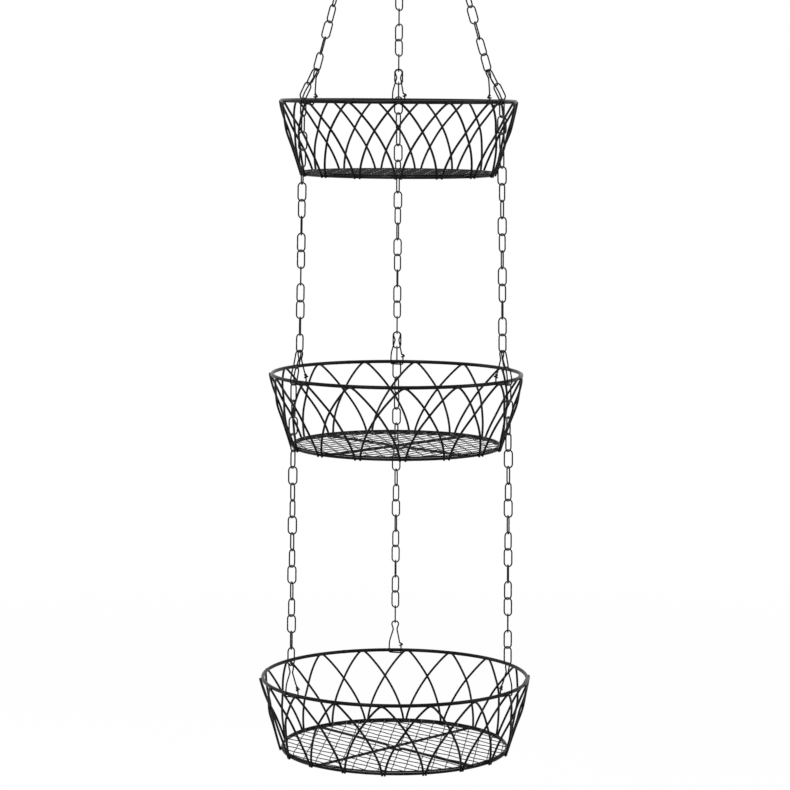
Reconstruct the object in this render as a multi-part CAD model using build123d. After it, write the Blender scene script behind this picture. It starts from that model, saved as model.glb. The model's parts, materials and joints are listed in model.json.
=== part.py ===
from build123d import *
import os
from math import asin, atan2, ceil, cos, degrees, pi, radians, sin, sqrt, tan

# A hanging basket of three round wire tiers, the smallest on top, on three chains.
# Lengths are in millimetres and angles in degrees. The origin is the spot inside the top of
# the S-hook that rests on what carries it. +Z is up, and the baskets' front faces -Y.
# An angle round a basket is counted from the front towards +X.

# Fits that all pieces share
weld_bite = 0.05            # how deep two welded wires sink into each other
hinge_gap = 0.15            # space between two pieces that hang in each other
side_gap = 0.3              # space between two pieces that lie side by side

# S-hook
hook_wire = 4.0
hook_upper_bend = 14.0      # bend radii are those of the wire's centreline
hook_lower_bend = 9.0
hook_bend_spacing = 36.0    # from the centre of one bend to the centre of the other
hook_upper_tip_angle = 196.0
hook_lower_tip_angle = 372.0

# Ring that gathers the three chains
ring_wire = 4.0
ring_radius = 14.0
ring_strand_spacing = 5.0

# Chain links
link_wire = 1.6
link_width = 10.4           # over the outside
link_pitch = 18.0           # what one link adds to the chain's length
upper_link_count = 19
lead_link_count = 2         # links that lead from a clip over the rim
middle_link_count = 17      # from clip to clip, lead links and last link included
lower_link_count = 19
usual_turn = 62.0           # how far each link is turned from the one above it

# Where the chains run
left_hanger_angle = 49.2    # the two front chains, either side of the front
right_hanger_angle = 55.2
upper_head_radius = 116.5   # from the axis to the clip's head at the right of the upper tier
middle_strand_radius = 134.2
lower_strand_radius = 146.7
middle_strand_lean = 0.9    # the strands spread a little on their way down
lower_strand_lean = 0.5

# Clips, which hold a rim to its chain
clip_wire = 1.6
clip_rise = 33.5            # from the rim's centreline to the spot that hangs in the chain
clip_head_width = 9.3       # over the outside, as are the next two
clip_neck_width = 5.8
clip_foot_width = 15.6
clip_head_height = 8.0
clip_waist_width = 14.8
clip_waist_rise = 10.0
clip_head_radius = 3.4
clip_neck_radius = 3.0
clip_waist_radius = 30.0
clip_foot_radius = 1.5
clip_latch_rise = 7.0       # where the two ends are held together
clip_latch_height = 2.2
clip_latch_wall = 0.3
clip_end_overlap = 4.4
clip_crossing_run = 2.2     # how soon the wire is under the rim, past the outer foot

# Baskets
upper_rim_radius = 128.0    # ring radii are those of the wire's centreline
middle_rim_radius = 138.0
lower_rim_radius = 148.0
upper_base_radius = 105.0
middle_base_radius = 115.0
lower_base_radius = 126.0
basket_height = 80.0        # from the rim's centreline to the base ring's
rim_wire = 4.0
base_wire = 3.0

# Pointed arches, welded round the outside
arch_wire = 2.5
arch_tip_radius = 4.0
arch_foot_overrun = 1.6     # how far a foot reaches below the base ring's centreline
arch_layer_gap = 0.5
upper_arch_count = 15
middle_arch_count = 15
lower_arch_count = 18
upper_first_arch = 0.0
middle_first_arch = 3.3
lower_first_arch = -5.3
upper_foot_gap = 6.0        # between the two feet that stand together, centre to centre
lower_foot_gap = 2.8
arch_curve_power = 1.5      # how fast a leg steepens on its way down
arch_height_shares = (0.18, 0.40, 0.68)
arch_crossing_share = 0.40

# Floors
support_wire = 3.0
support_angle = 47.0
support_joggle_start = 14.0
support_joggle_end = 6.0
support_joggle_radius = 6.0
edge_wire = 2.0
edge_inset = 0.45
mesh_wire = 1.1
lengthwise_spacing = 14.3
crosswise_spacing = 12.4
mesh_shortest = 24.0        # shorter wires are left out of the mesh
upper_lengthwise_angle = 85.0
middle_lengthwise_angle = 102.0
lower_lengthwise_angle = 85.0
upper_crosswise_angle = -45.0
middle_crosswise_angle = 48.0
lower_crosswise_angle = -45.0

UP = Vector(0, 0, 1)
SIDES = {"left": -left_hanger_angle, "right": right_hanger_angle, "back": 180.0}
RIM_RADIUS = {"upper": upper_rim_radius, "middle": middle_rim_radius, "lower": lower_rim_radius}
BASE_RADIUS = {"upper": upper_base_radius, "middle": middle_base_radius, "lower": lower_base_radius}
ARCH_COUNT = {"upper": upper_arch_count, "middle": middle_arch_count, "lower": lower_arch_count}
FIRST_ARCH = {"upper": upper_first_arch, "middle": middle_first_arch, "lower": lower_first_arch}
FOOT_GAP = {"upper": upper_foot_gap, "middle": upper_foot_gap, "lower": lower_foot_gap}
LINK_COUNT = {"middle": middle_link_count, "lower": lower_link_count}
STRAND_RADIUS = {"middle": middle_strand_radius, "lower": lower_strand_radius}
STRAND_LEAN = {"middle": middle_strand_lean, "lower": lower_strand_lean}
TIER_ABOVE = {"middle": "upper", "lower": "middle"}
LENGTHWISE_ANGLE = {"upper": upper_lengthwise_angle, "middle": middle_lengthwise_angle,
                    "lower": lower_lengthwise_angle}
CROSSWISE_ANGLE = {"upper": upper_crosswise_angle, "middle": middle_crosswise_angle,
                   "lower": lower_crosswise_angle}

# A link's centreline is two half circles joined by two straight runs. Two links that hang in
# each other meet at a seat, and their wires' centres lie half a step above and below it.
link_bend = (link_width - link_wire) / 2
link_half_run = (link_pitch + link_wire + hinge_gap) / 2 - link_bend
seat_step = (link_wire + hinge_gap) / 2
end_depth = link_bend - seat_step


def outward(angle):
    """The level direction away from the axis at an angle round the basket."""
    return Vector(sin(radians(angle)), -cos(radians(angle)), 0)


def along(angle):
    """The level direction along the rim, anticlockwise seen from above."""
    return Vector(cos(radians(angle)), sin(radians(angle)), 0)


def bent_path(corners, radii):
    """Straight runs from corner to corner, each inner corner rounded by a tangent arc."""
    edges = []
    start = corners[0]
    for before, corner, after, radius in zip(corners, corners[1:], corners[2:], radii):
        back = (before - corner).normalized()
        ahead = (after - corner).normalized()
        half_angle = radians(back.get_angle(ahead)) / 2
        reach = radius / tan(half_angle)
        bend_start = corner + back * reach
        bend_end = corner + ahead * reach
        bend_middle = corner + (back + ahead).normalized() * (radius / sin(half_angle) - radius)
        edges.append(Edge.make_line(start, bend_start))
        edges.append(Edge.make_three_point_arc(bend_start, bend_middle, bend_end))
        start = bend_end
    edges.append(Edge.make_line(start, corners[-1]))
    return Wire(edges)


def easy_radius(before, corner, after, run_share=0.45):
    """The radius of an arc that takes up a share of the shorter of two runs."""
    back = before - corner
    ahead = after - corner
    half_angle = radians(back.get_angle(ahead)) / 2
    return run_share * min(back.length, ahead.length) * tan(half_angle)


def round_wire(path, diameter):
    """A round wire along a path."""
    return sweep(Plane(origin=path @ 0, z_dir=path % 0) * Circle(diameter / 2), path=path)


def straight_wire(middle, direction, half_length, diameter):
    """A straight round wire on both sides of its middle."""
    path = Wire([Edge.make_line(middle - direction * half_length, middle + direction * half_length)])
    return round_wire(path, diameter)


def save(name, solids):
    """Write one piece, or a group of like pieces, under its name."""
    whole = Compound(children=list(solids)) if len(solids) > 1 else solids[0]
    export_step(whole, f"parts/{name}.step")


def oval_link():
    """One link that stands along Z with its face in the XZ plane, centred on the origin."""
    low_right = Vector(link_bend, 0, -link_half_run)
    high_right = Vector(link_bend, 0, link_half_run)
    high_left = Vector(-link_bend, 0, link_half_run)
    low_left = Vector(-link_bend, 0, -link_half_run)
    top = Vector(0, 0, link_half_run + link_bend)
    bottom = Vector(0, 0, -link_half_run - link_bend)
    path = Wire([
        Edge.make_line(low_right, high_right),
        Edge.make_three_point_arc(high_right, top, high_left),
        Edge.make_line(high_left, low_left),
        Edge.make_three_point_arc(low_left, bottom, low_right),
    ])
    return round_wire(path, link_wire)


def chain_run(link, top_seat, up, face, count, first_turn, turn_step):
    """Links one below the other from a seat. A link is turned about the run from its face."""
    sideways = (face - up * face.dot(up)).normalized()
    depth = sideways.cross(up)
    links = []
    for index in range(count):
        turn = radians(first_turn + index * turn_step)
        centre = top_seat - up * (link_pitch * (2 * index + 1) / 2)
        width = sideways * cos(turn) + depth * sin(turn)
        links.append(Plane(origin=centre, x_dir=width, z_dir=up) * link)
    return links


def even_turn(first_turn, last_turn, steps):
    """The step nearest to the usual one that turns links evenly from first to last."""
    half_turns = round((usual_turn * steps - (last_turn - first_turn)) / 180)
    return (last_turn - first_turn + 180 * half_turns) / steps


def seat_rise(offset):
    """How far above a seat a wire's centre rests in a link's end, beside its middle."""
    inner = link_bend - link_wire - hinge_gap
    return end_depth - sqrt(inner**2 - offset**2)


# Heights of the hook and the ring
hook_upper_centre = -(hook_upper_bend - hook_wire / 2)
hook_lower_centre = hook_upper_centre - hook_bend_spacing
hook_ring_seat = hook_lower_centre - hook_lower_bend + hook_wire / 2 + hinge_gap / 2
ring_centre = hook_ring_seat + hinge_gap / 2 + ring_wire / 2 - ring_radius


def ring_spot(side):
    """The centre of the ring's wire where a strand hangs on it."""
    offset = {"left": -ring_strand_spacing, "right": ring_strand_spacing, "back": 0}[side]
    return Vector(offset, 0, ring_centre - sqrt(ring_radius**2 - offset**2))


# The upper strands run straight from the ring's wire to the clips' heads. All three are as
# long as each other and end on one level, which the right head's place gives.
ring_step = (ring_wire + link_wire) / 2 + hinge_gap
upper_strand_length = upper_link_count * link_pitch + seat_step - ring_step
right_head = outward(right_hanger_angle) * upper_head_radius
right_spread = Vector(right_head.X - ring_strand_spacing, right_head.Y, 0).length
upper_head_level = ring_spot("right").Z - sqrt(upper_strand_length**2 - right_spread**2)


def upper_head_distance(side):
    """How far from the axis an upper strand ends when it hangs down to the heads' level."""
    spot = ring_spot(side)
    forward = spot.dot(outward(SIDES[side]))
    spread_squared = upper_strand_length**2 - (spot.Z - upper_head_level)**2
    return forward + sqrt(spread_squared - spot.X**2 + forward**2)


# Seats of the clips' heads, and the way the chain above each of them runs
HEAD_RADIUS = {"upper": {side: upper_head_distance(side) for side in SIDES}}
HEAD_LEVEL = {"upper": upper_head_level}


def head_seat(tier, side):
    """The spot where a clip's head hangs in the last link above it."""
    return outward(SIDES[side]) * HEAD_RADIUS[tier][side] + UP * HEAD_LEVEL[tier]


def strand_up(tier, side):
    """The direction of the chain above a tier's clip."""
    if tier == "upper":
        return (ring_spot(side) - head_seat(tier, side)).normalized()
    lean = radians(STRAND_LEAN[tier])
    return UP * cos(lean) - outward(SIDES[side]) * sin(lean)


# The head of a clip and the first lead link lie side by side in the last link of a strand
neighbour_offset = (link_wire + side_gap) / 2


def resting_wire(tier, side, offset):
    """The centre of a wire that rests in the last link of a strand, offset away from the axis."""
    up = strand_up(tier, side)
    away = (outward(SIDES[side]) - up * outward(SIDES[side]).dot(up)).normalized()
    return head_seat(tier, side) + up * seat_rise(offset) + away * offset


def lead_frame(tier, side, run):
    """Top seat and direction of the two links that lead out above a lower tier's strand, and the
    strand's top seat. They move away from the axis by run, and all three pairs end on one level.
    The strand hangs from the inside of their slanting end, where its own direction meets it."""
    start = resting_wire(TIER_ABOVE[tier], side, neighbour_offset)
    length = lead_link_count * link_pitch + seat_step - end_depth
    slope = asin(run / length)
    up = UP * cos(slope) - outward(SIDES[side]) * sin(slope)
    return start - up * seat_step, up, start - up * length - strand_up(tier, side) * end_depth


def strand_seat(tier, side, links):
    """The seat under a number of links of a lower tier's strand."""
    return LEADS[tier][side][2] - strand_up(tier, side) * (links * link_pitch)


LEADS = {}
for tier, above in TIER_ABOVE.items():
    front = resting_wire(above, "right", neighbour_offset)
    run = STRAND_RADIUS[tier] - front.dot(outward(right_hanger_angle))
    LEADS[tier] = {side: lead_frame(tier, side, run) for side in SIDES}
    seats = {side: strand_seat(tier, side, LINK_COUNT[tier] - lead_link_count) for side in SIDES}
    HEAD_RADIUS[tier] = {side: seats[side].dot(outward(SIDES[side])) for side in SIDES}
    HEAD_LEVEL[tier] = seats["right"].Z

RIM_LEVEL = {tier: HEAD_LEVEL[tier] - clip_rise for tier in RIM_RADIUS}


def make_hook():
    """The S-hook: two round bends in the YZ plane, joined by a straight run tangent to both."""
    lean = asin((hook_upper_bend + hook_lower_bend) / hook_bend_spacing)
    normal = Vector(0, cos(lean), -sin(lean))
    upper = Vector(0, 0, hook_upper_centre)
    lower = Vector(0, 0, hook_lower_centre)

    def on_bend(centre, radius, angle):
        return centre + Vector(0, cos(radians(angle)), sin(radians(angle))) * radius

    upper_end = -degrees(lean)
    lower_start = 180 - degrees(lean)
    path = Wire([
        Edge.make_three_point_arc(
            on_bend(upper, hook_upper_bend, hook_upper_tip_angle),
            on_bend(upper, hook_upper_bend, (hook_upper_tip_angle + upper_end) / 2),
            upper + normal * hook_upper_bend),
        Edge.make_line(upper + normal * hook_upper_bend, lower - normal * hook_lower_bend),
        Edge.make_three_point_arc(
            lower - normal * hook_lower_bend,
            on_bend(lower, hook_lower_bend, (hook_lower_tip_angle + lower_start) / 2),
            on_bend(lower, hook_lower_bend, hook_lower_tip_angle)),
    ])
    return round_wire(path, hook_wire)


def make_ring():
    """The gathering ring stands in the XZ plane."""
    return Plane(origin=(0, 0, ring_centre), z_dir=(0, 1, 0)) * Torus(ring_radius, ring_wire / 2)


def make_clip(tier, side):
    """A clip is one wire. From its end on the inner side of the rim it goes down, under the rim
    to the outer side, up to a round head, and back down beside its own end, where a latch holds
    both ends. It leans in from the rim towards its head."""
    sideways_out = along(SIDES[side]) * (-1 if side == "left" else 1)
    offset = 0 if tier == "lower" else -neighbour_offset
    rim_spot = outward(SIDES[side]) * RIM_RADIUS[tier] + UP * RIM_LEVEL[tier]
    to_head = resting_wire(tier, side, offset) - rim_spot
    head_height = to_head.length
    up = to_head.normalized()
    out = along(SIDES[side]).cross(up)
    beside_rim = (rim_wire + clip_wire) / 2 + side_gap
    under_rim = (rim_wire + clip_wire) / 2 - weld_bite
    foot = (clip_foot_width - clip_wire) / 2
    waist = (clip_waist_width - clip_wire) / 2
    neck = (clip_neck_width - clip_wire) / 2
    cheek = (clip_head_width - clip_wire) / 2
    head_drop = clip_head_height - clip_wire

    def at(sideways, depth, height):
        return rim_spot + sideways_out * sideways + out * depth + up * height

    waist_depth = beside_rim * (1 - clip_waist_rise / head_height)
    cheek_height = head_height - clip_head_radius - clip_wire / 2
    neck_height = head_height - head_drop - clip_neck_radius
    low_end = clip_latch_rise + clip_end_overlap / 2
    high_end = clip_latch_rise - clip_end_overlap / 2
    end_spacing = clip_wire + hinge_gap
    corners = [
        at(-foot, -beside_rim, low_end),
        at(-foot, -beside_rim, -under_rim),
        at(foot - clip_crossing_run, 0, -under_rim),
        at(foot, beside_rim, -under_rim),
        at(waist, waist_depth, clip_waist_rise),
        at(neck, 0, neck_height),
        at(cheek, 0, cheek_height),
        at(cheek, 0, head_height),
        at(-cheek, 0, head_height),
        at(-cheek, 0, cheek_height),
        at(-neck, 0, neck_height),
        at(-waist + end_spacing, -waist_depth, clip_waist_rise + clip_wire),
        at(-foot + end_spacing, -beside_rim, high_end),
    ]
    radii = [clip_foot_radius, clip_foot_radius, clip_foot_radius, clip_waist_radius, clip_neck_radius,
             clip_neck_radius, clip_head_radius, clip_head_radius, clip_neck_radius, clip_neck_radius,
             clip_waist_radius / 4]
    wire = round_wire(bent_path(corners, radii), clip_wire)
    latch_radius = (clip_wire + end_spacing) / 2 + clip_latch_wall
    latch_spot = at(-foot + end_spacing / 2, -beside_rim, clip_latch_rise)
    return wire + Plane(origin=latch_spot, z_dir=up) * Cylinder(latch_radius, clip_latch_height)


def taper(tier):
    """How far the basket's side leans from upright."""
    return atan2(RIM_RADIUS[tier] - BASE_RADIUS[tier], basket_height)


def side_radius(tier, depth):
    """The radius of the arches' centrelines at a depth below the rim's centreline."""
    at_rim = RIM_RADIUS[tier] + ((rim_wire + arch_wire) / 2 - weld_bite) / cos(taper(tier))
    at_base = BASE_RADIUS[tier] + ((base_wire + arch_wire) / 2 - weld_bite) / cos(taper(tier))
    return at_rim + (at_base - at_rim) * depth / basket_height


def arch_path(tier, apex_angle):
    """One arch from its left foot over its tip to its right foot. A leg's angle from the apex
    grows as 1 - (1 - depth share) to a power, so it leaves the tip slanting and meets the base
    steeply. Where two arches cross, the left leg passes outside and the right leg inside."""
    tip_depth = ((rim_wire + arch_wire) / 2 - weld_bite) * sin(taper(tier))
    reach = basket_height - tip_depth
    foot_angle = 360 / ARCH_COUNT[tier] - degrees(FOOT_GAP[tier] / 2 / side_radius(tier, basket_height))
    layer_offset = arch_wire / 2 + arch_layer_gap

    def at(angle, depth, layer=0):
        radius = side_radius(tier, depth) + layer * layer_offset
        return outward(apex_angle + angle) * radius + UP * (RIM_LEVEL[tier] - depth)

    def leg(share):
        return foot_angle * (1 - (1 - share)**arch_curve_power)

    first_share = arch_height_shares[0]
    first_run = radians(leg(first_share)) * side_radius(tier, 0)
    first_fall = first_share * reach / cos(taper(tier))
    tip_rise = 0
    for _ in range(4):
        half_angle = atan2(first_run, first_fall + tip_rise)
        tip_rise = arch_tip_radius * (1 / sin(half_angle) - 1)
    left = []
    right = []
    for share in arch_height_shares:
        crossing = 1 if share == arch_crossing_share else 0
        left.append(at(-leg(share), tip_depth + share * reach, crossing))
        right.append(at(leg(share), tip_depth + share * reach, -crossing))
    foot_depth = basket_height + arch_foot_overrun
    tip = at(0, tip_depth - tip_rise * cos(taper(tier)))
    corners = [at(-foot_angle, foot_depth), *reversed(left), tip, *right, at(foot_angle, foot_depth)]
    radii = [easy_radius(*trio) for trio in zip(corners, corners[1:], corners[2:])]
    radii[len(left)] = arch_tip_radius
    return bent_path(corners, radii)


def make_arches(tier):
    """All arches of one tier."""
    step = 360 / ARCH_COUNT[tier]
    angles = [FIRST_ARCH[tier] + step * index for index in range(ARCH_COUNT[tier])]
    return [round_wire(arch_path(tier, angle), arch_wire) for angle in angles]


def make_supports(tier):
    """Two bars that cross under the mesh. One is straight, the other dips under it."""
    level = RIM_LEVEL[tier] - basket_height
    reach = BASE_RADIUS[tier] - base_wire / 2 + weld_bite
    dip = support_wire - weld_bite
    straight = straight_wire(UP * level, along(support_angle), reach, support_wire)
    run = along(-support_angle)
    stops = [(-reach, 0), (-support_joggle_start, 0), (-support_joggle_end, -dip),
             (support_joggle_end, -dip), (support_joggle_start, 0), (reach, 0)]
    corners = [run * place + UP * (level + height) for place, height in stops]
    dipped = round_wire(bent_path(corners, [support_joggle_radius] * 4), support_wire)
    return [straight, dipped]


def edge_radius(tier):
    """The radius of the mesh's edge ring."""
    return BASE_RADIUS[tier] - edge_inset


def edge_rise():
    """How far the edge ring's centreline lies above the base ring's, resting on its top."""
    apart = (base_wire + edge_wire) / 2 + weld_bite
    return sqrt(apart**2 - edge_inset**2)


def make_mesh(tier, angle, spacing, rise):
    """Straight parallel wires that reach to the inside of the edge ring."""
    level = RIM_LEVEL[tier] - basket_height + rise
    across = along(angle + 90)
    off_centre = rise - edge_rise()
    inside = edge_radius(tier) - sqrt((edge_wire / 2)**2 - off_centre**2)
    count = ceil(inside / spacing)
    wires = []
    for index in range(-count, count):
        place = (2 * index + 1) / 2 * spacing
        outer_edge = abs(place) + mesh_wire / 2
        if outer_edge >= inside:
            continue
        half_length = sqrt(inside**2 - outer_edge**2)
        if 2 * half_length > mesh_shortest:
            wires.append(straight_wire(across * place + UP * level, along(angle), half_length, mesh_wire))
    return wires


def make_tier(tier):
    """The basket of one tier and its three clips."""
    base_level = RIM_LEVEL[tier] - basket_height
    crosswise_rise = (support_wire + mesh_wire) / 2 - weld_bite
    lengthwise_rise = crosswise_rise + mesh_wire - weld_bite
    save(f"{tier}_rim", [Pos(0, 0, RIM_LEVEL[tier]) * Torus(RIM_RADIUS[tier], rim_wire / 2)])
    save(f"{tier}_base_ring", [Pos(0, 0, base_level) * Torus(BASE_RADIUS[tier], base_wire / 2)])
    save(f"{tier}_side_arches", make_arches(tier))
    save(f"{tier}_floor_supports", make_supports(tier))
    save(f"{tier}_floor_edge_ring",
         [Pos(0, 0, base_level + edge_rise()) * Torus(edge_radius(tier), edge_wire / 2)])
    save(f"{tier}_floor_mesh_lengthwise",
         make_mesh(tier, LENGTHWISE_ANGLE[tier], lengthwise_spacing, lengthwise_rise))
    save(f"{tier}_floor_mesh_crosswise",
         make_mesh(tier, CROSSWISE_ANGLE[tier], crosswise_spacing, crosswise_rise))
    for side in SIDES:
        save(f"{tier}_clip_{side}", [make_clip(tier, side)])


def make_upper_chain(link, side):
    """A strand from the ring to the upper tier. Its first link faces along the ring's wire, and
    its last stands edge-on to the basket."""
    up = strand_up("upper", side)
    face = along(SIDES[side])
    sideways = (face - up * face.dot(up)).normalized()
    ring_face = Vector(0, 1, 0) - up * up.Y
    first_turn = degrees(atan2(ring_face.dot(sideways.cross(up)), ring_face.dot(sideways)))
    turn_step = even_turn(first_turn, 90, upper_link_count - 1)
    top_seat = ring_spot(side) + up * (ring_step - seat_step)
    return chain_run(link, top_seat, up, face, upper_link_count, first_turn, turn_step)


def make_tier_chain(link, tier, side):
    """The chain from the clip above to a lower tier's clip. The two lead links and the link under
    them, which lies flat beside the rim, stay with the tier above. Under them come the first
    link that swings, the strand and the last link."""
    face = along(SIDES[side])
    lead_seat, lead_up, strand_top = LEADS[tier][side]
    lead = chain_run(link, lead_seat, lead_up, face, lead_link_count, 0, 90)
    hanging = LINK_COUNT[tier] - lead_link_count
    turn_step = even_turn(0, 90, hanging - 1)
    strand = chain_run(link, strand_top, strand_up(tier, side), face, hanging, 0, turn_step)
    save(f"{tier}_lead_links_{side}", lead + strand[:1])
    save(f"{tier}_first_link_{side}", strand[1:2])
    save(f"{tier}_chain_{side}", strand[2:-1])
    save(f"{tier}_junction_link_{side}", strand[-1:])


def print_places():
    """The joint axes and levels, for whoever describes how the parts move."""
    print("hook_ring_seat", round(hook_ring_seat, 4), "ring_centre", round(ring_centre, 4))
    for tier in RIM_RADIUS:
        print("rim_level", tier, round(RIM_LEVEL[tier], 4))
    for tier in LEADS:
        last = LINK_COUNT[tier] - lead_link_count
        for side in SIDES:
            seats = [strand_seat(tier, side, links) for links in (0, 1, 2, last - 1, last)]
            print("seats", tier, side, *[round(value, 4) for seat in seats for value in seat])
    for side in SIDES:
        print("upper_head", side, *[round(value, 4) for value in head_seat("upper", side)])


os.makedirs("parts", exist_ok=True)
save("top_hook", [make_hook()])
save("top_ring", [make_ring()])
LINK = oval_link()
for side in SIDES:
    save(f"upper_chain_{side}", make_upper_chain(LINK, side))
for tier in LEADS:
    for side in SIDES:
        make_tier_chain(LINK, tier, side)
for tier in RIM_RADIUS:
    make_tier(tier)
print_places()
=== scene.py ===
# %% [markdown]
# A hanging basket of black wire, three round tiers on three chains.
#
# The whole object is bent and welded round wire, and every wire is a small circle carried along a
# line. So one function makes the skin of every wire, and the work lies in the lines: rings,
# pointed arches, crimped mesh wires, clips and chain links. The frame gives the rings' places and
# sizes. The rest is drawn from them and from the named lengths, finer than the solids.

# %% Load the frame
import json

import bpy
import numpy as np
from mathutils import Matrix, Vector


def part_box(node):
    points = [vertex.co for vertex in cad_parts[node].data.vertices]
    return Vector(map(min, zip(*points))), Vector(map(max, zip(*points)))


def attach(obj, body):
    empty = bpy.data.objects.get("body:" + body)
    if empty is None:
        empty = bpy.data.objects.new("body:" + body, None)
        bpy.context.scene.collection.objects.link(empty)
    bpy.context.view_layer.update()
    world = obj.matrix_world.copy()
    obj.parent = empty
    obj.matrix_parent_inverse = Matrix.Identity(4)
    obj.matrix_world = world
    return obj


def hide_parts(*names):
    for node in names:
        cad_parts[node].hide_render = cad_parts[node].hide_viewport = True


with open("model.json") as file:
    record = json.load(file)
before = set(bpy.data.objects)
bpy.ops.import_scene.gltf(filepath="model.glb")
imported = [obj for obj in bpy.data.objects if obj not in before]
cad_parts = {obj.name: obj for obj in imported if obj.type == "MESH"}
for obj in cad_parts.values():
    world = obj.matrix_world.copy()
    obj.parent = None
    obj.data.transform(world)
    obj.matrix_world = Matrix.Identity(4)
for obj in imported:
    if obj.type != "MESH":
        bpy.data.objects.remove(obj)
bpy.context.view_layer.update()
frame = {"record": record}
record = frame["record"]
body_of_node = {}
for body, members in record["behaviour"]["bodies"].items():
    for member in members:
        body_of_node[member] = body

# %% [markdown]
# The object's own directions are round ones. An angle is counted from the front towards the
# right, outward() points away from the middle there, and along() follows the rim. Lengths below
# are in millimetres, and one factor turns them to Blender's metres when a mesh is made.

# %% Directions and small helpers
MM = 0.001
UP = np.array([0.0, 0.0, 1.0])
TIERS = ("upper", "middle", "lower")
SIDES = {"left": -49.2, "right": 55.2, "back": 180.0}
WELD_BITE = 0.05
HINGE_GAP = 0.15
SIDE_GAP = 0.3


def outward(angle):
    """The level direction away from the axis: sine of the angle along X, minus cosine along Y."""
    turn = np.radians(np.asarray(angle, float))
    return np.stack([np.sin(turn), -np.cos(turn), 0 * turn], -1)


def along(angle):
    """The level direction along the rim, a quarter turn on from outward."""
    return outward(np.asarray(angle, float) + 90.0)


def unit(vectors):
    """The same directions, one long."""
    return vectors / np.linalg.norm(vectors, axis=-1, keepdims=True)


def box_mm(node):
    """The lowest and highest corner of a node of the frame, in millimetres."""
    low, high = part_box(node)
    return np.array(low) / MM, np.array(high) / MM


# %% [markdown]
# A round wire is a circle whose centre runs along a line. At each point of the line the circle
# needs two directions square to the run. One comes from a reference direction that suits the
# line, such as straight up for a level ring, and the other is square to both. Each end is
# rounded off by a few shrinking circles, because a real cut end is coated and never knife-sharp.

# %% The skin of a round wire
END_ANGLES = np.radians([78.0, 52.0, 26.0])
END_FLATNESS = 0.45


def wire_skin(points, reference, radius, closed=False, sides=12):
    """Point + radius * (cos(turn) * side + sin(turn) * third), where side is the reference made
    square to the run, and third is run x side. Ends shrink with the cosine of an angle while
    they move out with its sine."""
    points = np.asarray(points, float)
    radius = np.broadcast_to(np.asarray(radius, float), len(points)).copy()
    if closed:
        run = np.roll(points, -1, 0) - np.roll(points, 1, 0)
    else:
        run = np.gradient(points, axis=0)
    run = unit(run)
    reference = np.broadcast_to(reference, points.shape)
    side = unit(reference - run * np.sum(run * reference, -1, keepdims=True))
    if not closed:
        out = END_FLATNESS * radius[0] * np.sin(END_ANGLES)[:, None]
        head = points[0] - run[0] * out
        tail = points[-1] + run[-1] * out[::-1]
        shrink = np.cos(END_ANGLES)
        points = np.concatenate([head, points, tail])
        more_rows = ((len(END_ANGLES), len(END_ANGLES)), (0, 0))
        run = np.pad(run, more_rows, "edge")
        side = np.pad(side, more_rows, "edge")
        radius = np.concatenate([radius[0] * shrink, radius, radius[-1] * shrink[::-1]])
    third = np.cross(run, side)
    turn = np.linspace(0, 2 * np.pi, sides, endpoint=False)[:, None]
    spokes = np.cos(turn) * side[:, None] + np.sin(turn) * third[:, None]
    return points[:, None] + radius[:, None, None] * spokes, closed


def skin_faces(rows, sides, closed, first):
    """Quads between neighbouring circles, numbered so that they face outwards, and the two ends."""
    row = np.arange(rows if closed else rows - 1)[:, None]
    step = np.arange(sides)[None, :]
    after = (step + 1) % sides
    above = (row + 1) % rows
    quads = np.stack([row * sides + step, row * sides + after, above * sides + after,
                      above * sides + step], -1).reshape(-1, 4) + first
    ends = []
    if not closed:
        ends.append((first + np.arange(sides)[::-1]).tolist())
        ends.append((first + (rows - 1) * sides + np.arange(sides)).tolist())
    return quads.tolist() + ends


def wire_piece(node, skins, material, rub=None):
    """One object from many skins. It stands for a node of the frame and rides on its body."""
    points = []
    faces = []
    count = 0
    for grid, closed in skins:
        rows, sides = grid.shape[:2]
        faces += skin_faces(rows, sides, closed, count)
        points.append(grid.reshape(-1, 3))
        count += rows * sides
    points = np.concatenate(points)
    mesh = bpy.data.meshes.new(f"{node}_wire")
    mesh.from_pydata((points * MM).tolist(), [], faces)
    mesh.polygons.foreach_set("use_smooth", np.ones(len(mesh.polygons), bool))
    if rub is not None:
        mesh.attributes.new("rub", "FLOAT", "POINT").data.foreach_set("value", rub(points))
    mesh.materials.append(material)
    piece = bpy.data.objects.new(f"{node}_wire", mesh)
    bpy.context.scene.collection.objects.link(piece)
    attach(piece, body_of_node[node])
    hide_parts(node)
    return piece


# %% [markdown]
# Bent wire is straight runs joined by round bends. The bend touches both runs, so it starts
# radius / tan(half the inside angle) before the corner, and its middle lies on the line that
# halves the corner. Drawing it this way keeps the look of a wire bent round a pin.

# %% Lines with round bends
FEWEST_BEND_POINTS = 4


def bent_line(corners, radii, step=0.35):
    """Straight runs from corner to corner, each inner corner rounded by a touching arc."""
    corners = [np.asarray(corner, float) for corner in corners]
    stops = []
    start = corners[0]
    for before, corner, after, radius in zip(corners, corners[1:], corners[2:], radii):
        back = unit(before - corner)
        ahead = unit(after - corner)
        half_angle = np.arccos(np.clip(back @ ahead, -1, 1)) / 2
        reach = radius / np.tan(half_angle)
        centre = corner + unit(back + ahead) * radius / np.sin(half_angle)
        arc_start = corner + back * reach
        sweep = np.pi - 2 * half_angle
        count = max(FEWEST_BEND_POINTS, int(np.ceil(sweep * radius / step)) + 1)
        turn = np.linspace(0, sweep, count)[:, None]
        arc = centre + (arc_start - centre) * np.cos(turn) - back * radius * np.sin(turn)
        stops += [straight_points(start, arc_start)[:-1], arc[:-1]]
        start = corner + ahead * reach
    stops.append(straight_points(start, corners[-1]))
    return np.concatenate(stops)


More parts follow.
